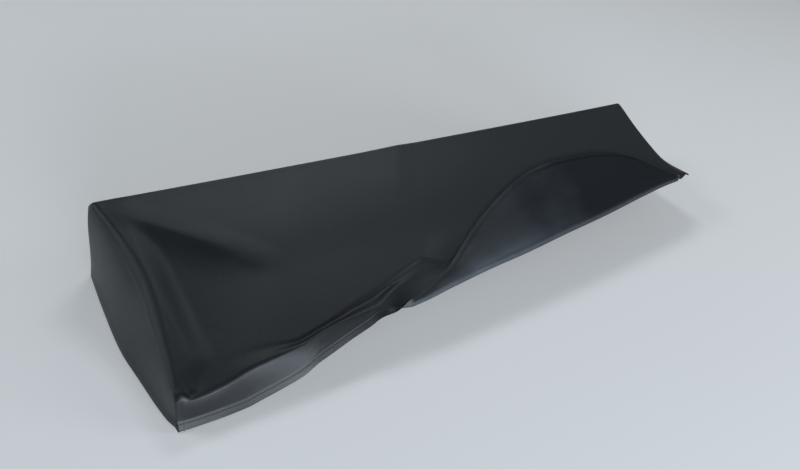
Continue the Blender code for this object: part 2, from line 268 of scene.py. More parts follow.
folds = {
    "humpRise": 0.80,           # shares of the way from the front ridge to the crease behind it
    "humpCrease": 0.35,
    "humpPower": 0.8,
    "dishDepth": 0.0070,        # hollow between the left edge, the front edge and the diagonal
    "dishEdge": 0.044,
    "dishSlope": 0.062,
    "dishReach": 0.12,
    "dishSideFrom": (-0.304, -0.006),
    "dishSideWay": (-0.832, 0.555),
    "dishSideLead": 0.020,
    "dishSide": 0.150,
    "shoulder": 0.448,          # strip between the hollow and the left edge
    "shoulderMore": 0.028,
    "shoulderEase": 0.036,
    "shoulderFront": (-0.105, 0.040),
    "diagonalFrom": (-0.470, 0.145),
    "diagonalWay": (0.761, -0.649),
    "diagonalShift": 0.0060,
    "diagonalCrest": 0.0021,
    "crestAt": -0.010,
    "crestWidth": 0.030,
    "crestGrows": 0.04,
    "crestFades": (0.19, 0.08),
    "patchHeight": 0.0016,      # small rise beside the hollow at the hem
    "patchAt": (-0.046, -0.052),
    "patchWidth": 0.030,
    "bandHeight": 0.0030,       # long swell behind the middle of the top
    "bandAt": 0.062,
    "bandWidth": 0.085,
    "bandGrows": (-0.46, 0.12),
    "bandFades": (-0.02, 0.30),
    "creaseHeight": 0.0014,     # crease from packing across the back of the top
    "creaseFoot": (-0.053, 0.065),
    "creaseHead": (-0.005, 0.146),
    "creaseSides": (0.075, 0.035),
    "creaseRound": 0.6,
    "creaseGrows": (-0.02, 0.05),
    "puckerHeight": 0.0030,     # small stiff fold where the corner seam begins
    "puckerFrom": (-0.4770, -0.1410),
    "puckerTo": (-0.4650, -0.1580),
    "puckerWidth": 0.0042,
    "puckerMiddle": 0.45,       # shares of its length
    "puckerReach": 0.75,
    "dimpleDepth": 0.0030,
    "dimpleAt": (-0.4610, -0.1490),
    "dimpleWidth": 0.0090,
}


def frontHump(station, y):  # raised ridge at the front, with a hollow and a crease behind it
    behind = (y - smooth(ridge, 1, station)) / smooth(ridge, 4, station)
    height, depth = smooth(ridge, 2, station), smooth(ridge, 5, station)
    toCrease = ease((1 - behind) / folds["humpCrease"])
    risen = 1 - ease(behind / folds["humpRise"])
    return (height + depth) * risen - depth * toCrease ** folds["humpPower"]


def cornerDish(x, y):
    (x0, y0), (ax, ay) = folds["diagonalFrom"], folds["diagonalWay"]
    along = (x - x0) * ax + (y - y0) * ay
    across = (x - x0) * ay - (y - y0) * ax - folds["diagonalShift"]
    (x1, y1), (bx, by) = folds["dishSideFrom"], folds["dishSideWay"]
    beside = (x - x1) * bx + (y - y1) * by + folds["dishSideLead"]
    edgeShare = 1 - np.clip(across / folds["dishEdge"], 0.0, 1.0)
    deep = (folds["dishDepth"] * (1 - edgeShare ** 2)       # falls off sharply at the diagonal
            + folds["dishSlope"] * np.clip(across, 0.0, folds["dishReach"]))
    frontY, frontEase = folds["shoulderFront"]      # the hollow reaches the corner only there
    shoulder = folds["shoulder"] + folds["shoulderMore"] * ease((frontY - y) / frontEase)
    inside = (deep * ease(beside / folds["dishSide"])
              * ease((x + shoulder) / folds["shoulderEase"]))
    crest = (bump((across - folds["crestAt"]) / folds["crestWidth"])
             * ease(along / folds["crestGrows"]) * (1 - grows(along, folds["crestFades"])))
    return folds["diagonalCrest"] * crest - inside


def longBand(x, y):
    return (folds["bandHeight"] * bump((y - folds["bandAt"]) / folds["bandWidth"])
            * grows(x, folds["bandGrows"]) * (1 - grows(x, folds["bandFades"])))


def packingCrease(x, y):
    (x0, y0), (x1, y1) = folds["creaseFoot"], folds["creaseHead"]
    length = math.hypot(x1 - x0, y1 - y0)
    ax, ay = (x1 - x0) / length, (y1 - y0) / length
    along = (x - x0) * ax + (y - y0) * ay
    side = (x - x0) * ay - (y - y0) * ax
    left, right = folds["creaseSides"]
    sharp = np.clip(np.where(side < 0, 1 + side / left, 1 - side / right), 0.0, 1.0)
    profile = sharp * sharp * (1 + folds["creaseRound"] * (1 - sharp))
    return folds["creaseHeight"] * profile * grows(along, folds["creaseGrows"])


def cornerPucker(x, y):
    (x0, y0), (x1, y1) = folds["puckerFrom"], folds["puckerTo"]
    length = math.hypot(x1 - x0, y1 - y0)
    ax, ay = (x1 - x0) / length, (y1 - y0) / length
    along = ((x - x0) * ax + (y - y0) * ay) / length
    side = ((x - x0) * ay - (y - y0) * ax) / folds["puckerWidth"]
    rise = (folds["puckerHeight"] * bump(side)
            * bump((along - folds["puckerMiddle"]) / folds["puckerReach"]))
    away = np.hypot(x - folds["dimpleAt"][0], y - folds["dimpleAt"][1]) / folds["dimpleWidth"]
    return rise - folds["dimpleDepth"] * bump(away)


def patch(x, y):
    away = np.hypot(x - folds["patchAt"][0], y - folds["patchAt"][1])
    return folds["patchHeight"] * bump(away / folds["patchWidth"])


def lift(station, y):  # unevenness of the top
    x = place(station, y)
    back = bump((y - cloth["backY"]) / cloth["backSagWidth"]) * (1 - (x / half) ** 4)
    length, width = cloth["middleSagSize"]
    middle = bump((y - cloth["middleSagAt"]) / width) * bump(x / length)
    return (frontHump(station, y) + cornerDish(x, y) + patch(x, y)
            - cloth["backSag"] * back - cloth["middleSag"] * middle
            + longBand(x, y) + packingCrease(x, y) + cornerPucker(x, y))


def rounding(distance, radius):  # drop of a rounded edge
    reach = radius * math.sin(math.radians(45))
    off = np.clip(reach - distance, 0.0, reach)
    return radius - np.sqrt(radius ** 2 - off ** 2)


def topPoints(station, y):
    y = np.atleast_1d(y)
    turnedDown = 1 - grows(station, cloth["frontRoundFades"])
    small = cloth["edgeRadius"]
    middle, reach = cloth["endRadiusAt"]
    large = cloth["endRadius"] + cloth["endRadiusMore"] * bump((y - middle) / reach)
    z = (plane(y) + lift(station, y) - rounding(cloth["backY"] - y, small)
         - rounding(station + half, large) - rounding(half - station, small)
         - rounding(y - smooth(ridge, 1, station), small) * turnedDown)
    return np.stack((place(station, y), y, z), axis=1)


def bezier(start, end, startWay, endWay, pull, endPull):
    start, end = np.array(start, float), np.array(end, float)
    span = np.linalg.norm(end - start)
    a, b = start + np.array(startWay) * span * pull, end - np.array(endWay) * span * endPull
    t = np.linspace(0.0, 1.0, cloth["fine"])[:, None]
    return (1 - t) ** 3 * start + 3 * t * (1 - t) ** 2 * a + 3 * t * t * (1 - t) * b + t ** 3 * end


def down(angle, outward):  # direction below level
    a = math.radians(angle)
    return np.array(outward) * math.cos(a) + np.array((0.0, 0.0, -math.sin(a)))


def runOf(points):
    steps = np.linalg.norm(np.diff(points, axis=0), axis=1)
    return np.concatenate(([0.0], np.cumsum(steps)))


def spread(points, at):  # points at fractions of a line's length
    run = runOf(points)
    wanted = np.array(at) * run[-1]
    return np.stack([np.interp(wanted, run, points[:, axis]) for axis in range(3)], axis=1)


def bandLine(station):  # base layer in front of the ridge
    start = topPoints(station, smooth(ridge, 1, station))[0]
    edgeY = float(smooth(edge, 1, station))
    end = np.array((place(station, edgeY), edgeY, smooth(edge, 2, station)))
    forward = (end - start) * (1, 1, 0)
    forward /= np.linalg.norm(forward)
    return bezier(start, end, down(smooth(ridge, 3, station), forward),
                  down(smooth(edge, 3, station), forward), *cloth["bandPulls"])


ground = {      # grid of heights that the turned-back part lies over
    "stationFrom": -0.20,
    "stations": 150,
    "front": -0.165,
    "back": 0.10,
    "rows": 240,
    "topPoints": 120,
}


def baseHeights():  # height of the base layer at the front, on a grid
    stations = np.linspace(ground["stationFrom"], half, ground["stations"])
    ys = np.linspace(ground["front"], ground["back"], ground["rows"])
    grid = []
    for station in stations:
        band = bandLine(station)[::-1]
        behind = np.linspace(band[-1, 1] + 0.001, ground["back"], ground["topPoints"])
        whole = np.vstack((band, topPoints(station, behind)))
        grid.append(np.interp(ys, whole[:, 1], whole[:, 2]))
    return stations, ys, np.array(grid)


def heightAt(field, x, y):
    stations, ys, grid = field
    station = np.array(x, float)
    for _ in range(4):      # finds the station whose place is x
        station = station + x - place(station, y)
    u = np.clip((station - stations[0]) / (stations[1] - stations[0]), 0, len(stations) - 1.001)
    v = np.clip((y - ys[0]) / (ys[1] - ys[0]), 0, len(ys) - 1.001)
    i, j = u.astype(int), v.astype(int)
    u, v = u - i, v - j
    return ((1 - u) * (1 - v) * grid[i, j] + u * (1 - v) * grid[i + 1, j]
            + (1 - u) * v * grid[i, j + 1] + u * v * grid[i + 1, j + 1])


turnedBack = {
    "hemGap": 0.0020,               # from its hem to the top below
    "gapPower": 1.6,
    "puff": 0.0115,                 # how far it bellies out
    "puffLoss": 0.6,                # share that is lost over this stretch of stations
    "puffLossOver": (0.10, 0.20),
    "puffSkew": 0.75,
    "puffNeeds": 0.07,              # depth of the part that lets it belly out fully
    "curlGrows": (0.14, 0.16),      # stretch over which the curl of the hem grows
    "small": 0.30,                  # share of the curl at the left
    "narrow": 0.6,                  # share of its width there
    "tipFades": (0.40, 0.06),       # stretch over which the curl fades at the tip
    "tipLoss": 0.6,
    "curlNeeds": (0.004, 0.03),
    "stand": 0.0010,                # how high the hem's edge stands
    "width": 0.0040,
    "furrow": 0.0012,               # depth of the furrow at the foot of the curl
    "furrowAt": 0.0062,
    "furrowWidth": 0.0044,
    "swell": 0.0020,                # soft ridge in front of the furrow
    "swellAt": 0.0190,
    "swellWidth": 0.0120,
}


def cuffRelief(station, toHem, length):  # relief along the hem of the turned-back part
    part = turnedBack
    grown = grows(station, part["curlGrows"])
    tipLoss = part["tipLoss"] * grows(station, part["tipFades"])
    size = (part["small"] + (1 - part["small"]) * grown) * (1 - tipLoss)
    share = part["narrow"] + (1 - part["narrow"]) * grown
    edgeUp = part["stand"] * (1 - ease(toHem / (part["width"] * share)))
    furrow = part["furrow"] * bump((toHem - part["furrowAt"] * share) / part["furrowWidth"])
    swell = part["swell"] * bump((toHem - part["swellAt"]) / part["swellWidth"]) * grown
    return (size * (edgeUp - furrow) + swell) * grows(length, part["curlNeeds"])


def cuffLine(station, start, field):  # from the end of the roll to the hem, over the base layer
    part = turnedBack
    t = np.linspace(0.0, 1.0, cloth["fine"])[1:]
    hem = np.array((smooth(cuff, 3, station), smooth(cuff, 4, station)))
    x = start[0] + (hem[0] - start[0]) * t
    y = start[1] + (hem[1] - start[1]) * t
    startGap = start[2] - heightAt(field, start[:1], start[1:2])
    gap = part["hemGap"] + (startGap - part["hemGap"]) * (1 - t) ** part["gapPower"]
    puff = (part["puff"] * (1 - part["puffLoss"] * grows(station, part["puffLossOver"]))
            * np.sin(math.pi * t ** part["puffSkew"])
            * ease((hem[1] - start[1]) / part["puffNeeds"]))
    length = math.hypot(hem[0] - start[0], hem[1] - start[1])
    relief = cuffRelief(station, (1 - t) * length, length)
    return np.stack((x, y, heightAt(field, x, y) + gap + puff + relief), axis=1)


def frontLine(station, field):  # band, roll and turned-back part of a station
    band = bandLine(station)
    turn = math.radians(smooth(cuff, 1, station)) if station > cuff[0][0] else 0.0
    openPart = 1 - turn / math.pi
    tail = cloth["tailTurned"] + (cloth["tail"] - cloth["tailTurned"]) * openPart
    if openPart > 0:
        band = spread(band, np.linspace(0.0, 1 - tail * openPart / runOf(band)[-1], cloth["fine"]))
    radius = float(smooth(cuff, 2, station))
    slope = math.radians(smooth(edge, 3, station))
    ahead = np.array((0.0, -math.cos(slope), -math.sin(slope)))
    up = np.array((0.0, -math.sin(slope), math.cos(slope)))
    angles = np.linspace(0.0, max(turn, 1e-4), cloth["rollFine"])[1:, None]
    roll = band[-1] + radius * (up * (1 - np.cos(angles)) + ahead * np.sin(angles))
    if openPart > 0.001:
        way = up * math.sin(turn) + ahead * math.cos(turn)
        rest = roll[-1] + way * tail * np.linspace(0.0, 1.0, cloth["fine"])[1:, None]
    else:
        rest = cuffLine(station, roll[-1], field)
    whole = np.vstack((band, roll, rest))
    total = runOf(whole)[-1]
    own = grows(station, cloth["rowsFollow"])
    rows = cloth["bandRows"] + cloth["rollRows"] + cloth["cuffRows"]
    rollLength = max(radius * turn, cloth["rollLeast"] * tail)
    bandPart = (1 - own) * cloth["bandRows"] / rows + own * runOf(band)[-1] / total
    rollPart = (1 - own) * cloth["rollRows"] / rows + own * rollLength / total
    closer = 1.0 + cloth["hemCloser"] * grows(station, cloth["hemCloserFrom"])
    last = 1 - (1 - np.linspace(0.0, 1.0, cloth["cuffRows"] + 1)[1:]) ** closer
    return spread(whole, np.concatenate((
        np.linspace(0.0, bandPart, cloth["bandRows"] + 1),
        np.linspace(bandPart, bandPart + rollPart, cloth["rollRows"] + 1)[1:],
        bandPart + rollPart + (1 - bandPart - rollPart) * last,
    )))


def backLine(station):
    back = topPoints(station, cloth["backY"])[0]
    wave = cloth["backWave"] * math.sin(cloth["backWaves"] * station)
    hemY = cloth["backY"] + cloth["backFlare"] + wave
    hem = np.array((place(station, cloth["backY"]), hemY, cloth["thickness"] / 2))
    atTop, atHem = [down(angle, (0, 1, 0)) for angle in cloth["backAngles"]]
    line = bezier(back, hem, atTop, atHem, *cloth["backPulls"])
    return spread(line, np.linspace(0, 1, cloth["dropRows"] + 1))[::-1]


def topLine(station):
    t = np.linspace(0, 1, cloth["topRows"] + 1)
    t = t - cloth["topRowsShift"] * np.sin(2 * math.pi * t)
    return topPoints(station, cloth["backY"] + (smooth(ridge, 1, station) - cloth["backY"]) * t)


def endLine(start, table, out, angle, endAngle):
    hem = [float(smooth(table, column, start[1])) for column in (1, 2, 3)]
    way = (out, 0, 0)
    line = bezier(start, hem, down(angle, way), down(endAngle, way), *cloth["endPulls"])
    return spread(line, np.linspace(0, 1, cloth["dropRows"] + 1))[1:]


def stationList():
    stations = []
    for low, high, gap in zip(cloth["marks"], cloth["marks"][1:], cloth["spacings"]):
        stations.extend(np.linspace(low, high, round((high - low) / gap), endpoint=False))
    return stations + [half]


drops = {
    "leftAngles": (46.0, 74.0),     # below level, at the ridge and at the hem
    "leftSteeper": (20.0, 10.0),    # added near the back and the front
    "steepBack": (0.07, 0.07),
    "steepFront": (0.125, 0.03),
    "steepFrontShare": 0.9,
    "rightMore": 40.0,              # how much steeper the right end is at its hem
    "rightMost": 86.0,
    "seamWay": 0.7,
}
rubAndHighlight = {     # how much lighter the bends of the cloth are, and over what width: wear at the edges, painted highlight along the front ridge and the turned-back roll
    "back": (0.8, 0.010),
    "front": (1.0, 0.011),
    "frontFades": (-0.30, 0.12),
    "roll": (1.0, 0.011),
    "rollGrows": (-0.16, 0.03),
    "left": (1.0, 0.012),
    "right": (0.8, 0.012),
}


def wornOrLitAt(name, distance):
    share, width = rubAndHighlight[name]
    return share * bump(distance / width)


def buildCloth():  # middle surface, its faces, cloth coordinates, distance to the hem, and wear with painted highlight along the bends
    field = baseHeights()
    points, faces, flat, toHem, wear, sheet = [], [], [], [], [], []
    drop, top, roll = cloth["dropRows"], cloth["topRows"], cloth["rollRows"]

    def add(line, coordinates, hemDistance, wornOrLit):
        points.extend(line)
        flat.extend(coordinates)
        toHem.extend(hemDistance)
        wear.extend(wornOrLit)
        return list(range(len(points) - len(line), len(points)))

    def join(rows):
        for a, b in zip(rows, rows[1:]):
            for k in range(len(a) - 1):
                faces.append((a[k], a[k + 1], b[k + 1], b[k]))

    def lace(a, b):  # joins two rows that have different numbers of points
        i = k = 0
        while i < len(a) - 1 or k < len(b) - 1:
            if k == len(b) - 1 or (i < len(a) - 1 and (i + 1) / len(a) <= (k + 1) / len(b)):
                if a[i] != b[k] and a[i + 1] != b[k]:
                    faces.append((a[i], a[i + 1], b[k]))
                i += 1
            else:
                if a[i] != b[k] and a[i] != b[k + 1]:
                    faces.append((a[i], b[k + 1], b[k]))
                k += 1

    for station in stationList():
        line = np.vstack((backLine(station), topLine(station)[1:], frontLine(station, field)[1:]))
        run = runOf(line)
        rollAt = run[drop + top + cloth["bandRows"] + roll // 2]
        # lighter along the bends: wear at the back edge, painted highlight along the front ridge
        # and the turned-back roll
        wornOrLit = np.maximum.reduce((
            wornOrLitAt("back", run - run[drop]),
            wornOrLitAt("front", run - run[drop + top]) * (1 - grows(station, rubAndHighlight["frontFades"])),
            wornOrLitAt("roll", run - rollAt) * grows(station, rubAndHighlight["rollGrows"])))
        sheet.append(add(line, [(station, run[drop] - along) for along in run],
                         np.minimum(run, run[-1] - run), wornOrLit))
    join(sheet)

    first, last = sheet[0], sheet[-1]
    leftRows = [first[:drop + 1][::-1]]
    for v in first[drop + 1:drop + top]:
        y = points[v][1]
        steep = float(grows(y, drops["steepBack"])
                      + drops["steepFrontShare"] * grows(-y, drops["steepFront"]))
        angles = [angle + more * steep
                  for angle, more in zip(drops["leftAngles"], drops["leftSteeper"])]
        line = endLine(points[v], leftHem, -1, *angles)
        run = runOf(np.vstack((points[v], line)))[1:]
        wear[v] = 1.0
        leftRows.append([v] + add(line, [(-half - along, y - cloth["backY"]) for along in run],
                                  run[-1] - run, wornOrLitAt("left", run)))
    join(leftRows)
    lace(leftRows[-1], first[drop + top:])

    rightRows = [last[:drop + 1][::-1]]
    for v in last[drop + 1:]:
        y = points[v][1]
        angle = float(smooth(rightHem, 4, y))
        line = endLine(points[v], rightHem, 1, angle,
                       min(drops["rightMost"], angle + drops["rightMore"]))
        run = runOf(np.vstack((points[v], line)))[1:]
        rightRows.append([v] + add(line, [(half + along, y - cloth["backY"]) for along in run],
                                   run[-1] - run, wornOrLitAt("right", run)))
    join(rightRows[::-1])

    # the three sewn corners stand out a little
    seams = ((first[:drop], -1, 1), (first[drop + top + 1:], -1, -1), (last[:drop], 1, 1))
    for row, outX, outY in seams:
        way = np.array((outX, outY, 0)) * drops["seamWay"]
        for v in row:
            points[v] = points[v] + way * cloth["seamRise"]
            wear[v] = 1.0

    places = np.array(points) - np.array((0, 0, cloth["raise"]))
    measures = np.array(flat), np.array(toHem), np.array(wear)
    return places, faces, *measures, sheet, leftRows, rightRows


places, faces, flat, toHem, wear, sheet, leftRows, rightRows = buildCloth()
print("cloth points", len(places), "faces", len(faces))


class Value:  # a socket that takes part in sums
    def __init__(self, tree, socket):
        self.tree, self.socket = tree, socket

    def join(self, operation, *others):
        node = self.tree.nodes.new("ShaderNodeMath")
        node.operation = operation
        for i, item in enumerate((self,) + others):
            if isinstance(item, Value):
                self.tree.links.new(item.socket, node.inputs[i])
            else:
                node.inputs[i].default_value = item
        return Value(self.tree, node.outputs[0])

    def flip(self, operation, other):
        node = self.tree.nodes.new("ShaderNodeMath")
        node.operation = operation
        node.inputs[0].default_value = other
        self.tree.links.new(self.socket, node.inputs[1])
        return Value(self.tree, node.outputs[0])

    def __add__(self, other): return self.join("ADD", other)
    def __radd__(self, other): return self.flip("ADD", other)
    def __sub__(self, other): return self.join("SUBTRACT", other)
    def __rsub__(self, other): return self.flip("SUBTRACT", other)
    def __mul__(self, other): return self.join("MULTIPLY", other)
    def __truediv__(self, other): return self.join("DIVIDE", other)


class Finish:  # a material, with the one method that makes its nodes
    def __init__(self, name):
        self.material = bpy.data.materials.new(name)
        self.material.use_nodes = True
        self.tree = self.material.node_tree
        self.shader = self.tree.nodes["Principled BSDF"]

    def node(self, kind, settings=None, inputs=None, output=0):
        node = self.tree.nodes.new(kind)
        for name, value in (settings or {}).items():
            if name == "stops":
                ramp = node.color_ramp
                while len(ramp.elements) < len(value):
                    ramp.elements.new(0.5)
                for element, (position, colour) in zip(ramp.elements, value):
                    element.position, element.color = position, colour
            else:
                setattr(node, name, value)
        for name, value in (inputs or {}).items():
            self.feed(node.inputs[name], value)
        return Value(self.tree, node.outputs[output])

    def feed(self, socket, value):
        if isinstance(value, Value):
            self.tree.links.new(value.socket, socket)
        else:
            socket.default_value = value

    def blend(self, factor, a, b, mode="MIX"):  # colours
        return self.node("ShaderNodeMix", {"data_type": "RGBA", "blend_type": mode},
                         {0: factor, 6: a, 7: b}, output=2)

    def noise(self, place, scale, detail, roughness=0.5):
        return self.node("ShaderNodeTexNoise", None, {"Vector": place, "Scale": scale,
                                                      "Detail": detail, "Roughness": roughness})

    def between(self, value, low, high):  # from zero to one between two values
        return self.node("ShaderNodeMapRange", None,
                         {"Value": value, "From Min": low, "From Max": high})

    def paint(self, colour, height, strength):  # colour and relief of the surface
        self.feed(self.shader.inputs["Base Color"], colour)
        normal = self.node("ShaderNodeBump", None,
                           {"Strength": strength, "Distance": 1.0, "Height": height})
        self.feed(self.shader.inputs["Normal"], normal)

    def steady(self, **values):  # what is the same all over
        for name, value in values.items():
            self.shader.inputs[name.replace("_", " ")].default_value = value


outer = {
    "name": "charcoalClothOutside",
    "colour": (0.0032, 0.0044, 0.0062, 1),
    # lighter colour for specks, and for wear and painted highlight along the bends
    "wornOrLit": (0.0190, 0.0216, 0.0250, 1),
    "shade": (0.0022, 0.0032, 0.0046, 1),
    "paintedLit": (0.0170, 0.0190, 0.0216, 1),
    "paintedLightFrom": -0.36,      # painted light: lighter toward the right and the middle, darker over the hollow at the left end
    "paintedLightTo": -0.04,
    "roughness": 0.40,
    "specular": 0.60,
}
inner = {
    "name": "charcoalClothInside",
    "colour": (0.0066, 0.0096, 0.0152, 1),
    # lighter colour for specks, and for wear and painted highlight along the bends
    "wornOrLit": (0.0230, 0.0275, 0.0345, 1),
    "shade": (0.0050, 0.0076, 0.0120, 1),
    # painted light: the inside grows lighter toward the left of the turned-back part
    "paintedLit": (0.0980, 0.1090, 0.1220, 1),
    "paintedLightFrom": 0.24,
    "paintedLightTo": -0.08,
    "roughness": 0.46,
    "specular": 0.32,
}
hemEdge = {
    "name": "charcoalHemEdge",
    "colour": (0.0055, 0.0065, 0.0080, 1),
    "roughness": 0.85,
    "specular": 0.10,
}
weave = {
    "pitch": 0.00075,       # from thread to thread, metres
    "height": 0.00010,
    "fuzz": 0.00005,
    "grain": 0.00035,       # slow unevenness of the cloth
}
wearAndPaintedLight = {            # pairs are where a change begins and is full
    "cloudScale": 11.0,
    "speckScale": 420.0,
    "grainScale": 160.0,
    "tone": (0.36, 0.66),
    "toneShare": 0.55,
    "paintedLightCloud": 0.35,
    "paintedLightShare": 0.85,
    "speck": (0.45, 0.75),
    "speckShare": 0.35,
    "threadShare": 0.25,    # darkness between threads
    "rubbedAndLit": (0.45, 1.15),
    "rubbedAndLitFleck": 0.9,
    "rubbedAndLitCloud": 0.8,
    "rubbedAndLitShare": 0.55,
    "grooveShadeShare": 0.5,
    "stepShadeShare": 0.3,       # painted shade where the hem's fold ends
    "roughCloud": 0.16,
    "roughThreads": 0.06,
    "smoothRubbed": 0.05,
}
stitch = {
    "pitch": 0.0042,
    "length": 0.0030,
    "width": 0.00075,
    "fromHem": 0.0080,
    "fromSeam": 0.0040,
    "sunk": 0.00010,        # how far a stitch sits in the cloth
    "grooveWidth": 0.0011,
    "grooveDepth": 0.00030,
    "thread": (0.0200, 0.0225, 0.0260, 1),
    "threadShade": (0.0110, 0.0125, 0.0150, 1),
}


def clothFinish(look):
    finish = Finish(look["name"])
    sheetPlace = finish.node("ShaderNodeUVMap", {"uv_map": "cloth"})
    solidPlace = finish.node("ShaderNodeTexCoord", output=3)
    turns = math.tau / weave["pitch"]
    apart = finish.tree.nodes.new("ShaderNodeSeparateXYZ")
    finish.tree.links.new(sheetPlace.socket, apart.inputs[0])
    across, along = Value(finish.tree, apart.outputs[0]), Value(finish.tree, apart.outputs[1])
    warp = (across * turns).join("SINE")
    weft = (along * turns).join("SINE")
    threads = (warp * weft) * 0.5 + 0.5
    cloudy = finish.noise(solidPlace, wearAndPaintedLight["cloudScale"], 4.0, 0.55)
    fine = finish.noise(solidPlace, wearAndPaintedLight["speckScale"], 2.0, 0.6)
    grain = finish.noise(solidPlace, wearAndPaintedLight["grainScale"], 3.0, 0.55)
    cloud, fleck = cloudy - 0.5, fine - 0.5

    tone = finish.between(cloudy, *wearAndPaintedLight["tone"])
    colour = finish.blend(tone * wearAndPaintedLight["toneShare"], look["colour"], look["shade"])
    # painted light and shade: the colour grows lighter along the length, between the two given x
    # values, with a cloudy border
    lengthwise = finish.tree.nodes.new("ShaderNodeSeparateXYZ")
    finish.tree.links.new(solidPlace.socket, lengthwise.inputs[0])
    paintedLightPlace = Value(finish.tree, lengthwise.outputs[0]) + cloud * wearAndPaintedLight["paintedLightCloud"]
    paintedLight = finish.between(paintedLightPlace, look["paintedLightFrom"], look["paintedLightTo"])
    colour = finish.blend(paintedLight * wearAndPaintedLight["paintedLightShare"], colour, look["paintedLit"])
    speck = finish.between(fine, *wearAndPaintedLight["speck"])
    colour = finish.blend(speck * wearAndPaintedLight["speckShare"], colour, look["wornOrLit"])
    colour = finish.blend((1 - threads) * wearAndPaintedLight["threadShare"], colour, look["shade"])
    # lighter along the bends: wear at the edges and seams, painted highlight along the front ridge
    # and the turned-back roll
    wornOrLitPlace = finish.node("ShaderNodeAttribute", {"attribute_name": "wear"}, output=2)
    uneven = fleck * wearAndPaintedLight["rubbedAndLitFleck"] + cloud * wearAndPaintedLight["rubbedAndLitCloud"]
    rubbedAndLit = finish.between(wornOrLitPlace + uneven, *wearAndPaintedLight["rubbedAndLit"])
    colour = finish.blend(rubbedAndLit * wearAndPaintedLight["rubbedAndLitShare"], colour, look["wornOrLit"])

    hemPlace = finish.node("ShaderNodeAttribute", {"attribute_name": "toHem"}, output=2)
    fromThread = (hemPlace - stitch["fromHem"]) / stitch["grooveWidth"]
    groove = (1 - fromThread * fromThread).join("MAXIMUM", 0.0)
    fromFold = (hemPlace - cloth["hemWidth"]) / cloth["hemStepWidth"]
    step = (1 - fromFold * fromFold).join("MAXIMUM", 0.0)
    # painted shade in the stitch groove and at the step where the doubled hem ends
    paintedShade = groove * wearAndPaintedLight["grooveShadeShare"] + step * wearAndPaintedLight["stepShadeShare"]
    colour = finish.blend(paintedShade, colour, look["shade"])
    relief = (threads * weave["height"] + fine * weave["fuzz"] + grain * weave["grain"]
              - groove * stitch["grooveDepth"])
    finish.paint(colour, relief, 0.6)
    rough = (look["roughness"] + cloud * wearAndPaintedLight["roughCloud"]
             + (1 - threads) * wearAndPaintedLight["roughThreads"] - rubbedAndLit * wearAndPaintedLight["smoothRubbed"])
    finish.feed(finish.shader.inputs["Roughness"], rough)
    finish.steady(Specular_IOR_Level=look["specular"])
    return finish.material


def edgeFinish(look):  # the cut and turned edge of the hem
    finish = Finish(look["name"])
    solidPlace = finish.node("ShaderNodeTexCoord", output=3)
    fibres = finish.noise(solidPlace, 900.0, 2.0)
    colour = finish.blend(fibres * 0.6, look["colour"], outer["colour"])
    finish.paint(colour, fibres * weave["height"], 0.5)
    finish.steady(Roughness=look["roughness"], Specular_IOR_Level=look["specular"])
    return finish.material


def threadFinish():
    finish = Finish("hemThread")
    solidPlace = finish.node("ShaderNodeTexCoord", output=3)
    strands = finish.noise(solidPlace, 1500.0, 1.0)
    colour = finish.blend(strands, stitch["threadShade"], stitch["thread"])
    finish.paint(colour, strands * weave["fuzz"], 0.4)
    finish.steady(Roughness=0.55, Specular_IOR_Level=0.4)
    return finish.material


outside = clothFinish(outer)
inside = clothFinish(inner)
edging = edgeFinish(hemEdge)
thread = threadFinish()
print("finishes made")


mesh = bpy.data.meshes.new("dustCoverCloth")
mesh.from_pydata([tuple(p) for p in places], [], faces)
sheetMap = mesh.uv_layers.new(name="cloth")
corners = np.zeros(len(mesh.loops), dtype=np.int32)
mesh.loops.foreach_get("vertex_index", corners)
sheetMap.data.foreach_set("uv", flat[corners].astype(np.float32).ravel())
mesh.materials.append(outside)
mesh.materials.append(inside)
mesh.materials.append(edging)
mesh.polygons.foreach_set("use_smooth", [True] * len(mesh.polygons))
for attribute, numbers in (("toHem", toHem), ("wear", wear)):
    made = mesh.attributes.new(attribute, "FLOAT", "POINT")
    made.data.foreach_set("value", numbers.astype(np.float32))
cover = bpy.data.objects.new("dustCoverCloth", mesh)
bpy.context.scene.collection.objects.link(cover)

doubled = cover.vertex_groups.new(name="doubled")
thinning = cloth["hemThinning"]
weights = ease((cloth["hemWidth"] + thinning - toHem) / (2 * thinning))
for v in np.nonzero(weights)[0]:
    doubled.add([int(v)], float(weights[v]), "REPLACE")
solid = cover.modifiers.new("thickness", "SOLIDIFY")
solid.thickness = cloth["thickness"]
solid.offset = 0.0
solid.vertex_group = "doubled"
solid.thickness_vertex_group = cloth["single"]
solid.material_offset = 1
solid.material_offset_rim = 2


# points at one distance from the end of each row, with the way out of the cloth
def rowAt(rows, fromEnd, offset):
    path, before = [], []
    for row in rows:
        line = places[row] if fromEnd else places[row[::-1]]
        run = runOf(line)
        for found, at in ((path, run[-1] - offset), (before, run[-1] - offset - 0.002)):
            found.append([np.interp(at, run, line[:, axis]) for axis in range(3)])
    path, before = np.array(path), np.array(before)
    out = np.cross(path - before, np.gradient(path, axis=0))
    return path, out / np.linalg.norm(out, axis=1)[:, None]


def columnAt(line, neighbour):  # points of a line, with the way out of the cloth
    path = places[line]
    out = np.cross(np.gradient(path, axis=0), places[neighbour] - path)
    return path, out / np.linalg.norm(out, axis=1)[:, None]


def stitchPaths():
    drop, top = cloth["dropRows"], cloth["topRows"]
    beside = 1 + round(stitch["fromSeam"] / cloth["spacings"][0])
    front, frontOut = rowAt(sheet, True, stitch["fromHem"])
    back, backOut = rowAt(sheet, False, stitch["fromHem"])
    left, leftOut = rowAt(leftRows[1:], True, stitch["fromHem"])
    right, rightOut = rowAt(rightRows[1:], True, stitch["fromHem"])
    paths = [(front, frontOut), (back, -backOut), (left, leftOut), (right, -rightOut)]
    for k, step, part in ((beside, 1, slice(0, drop)), (beside, 1, slice(drop + top + 2, None)),
                          (-1 - beside, -1, slice(0, drop))):
        path, out = columnAt(sheet[k][part], sheet[k + step][part])
        paths.append((path, out * step))
    return paths


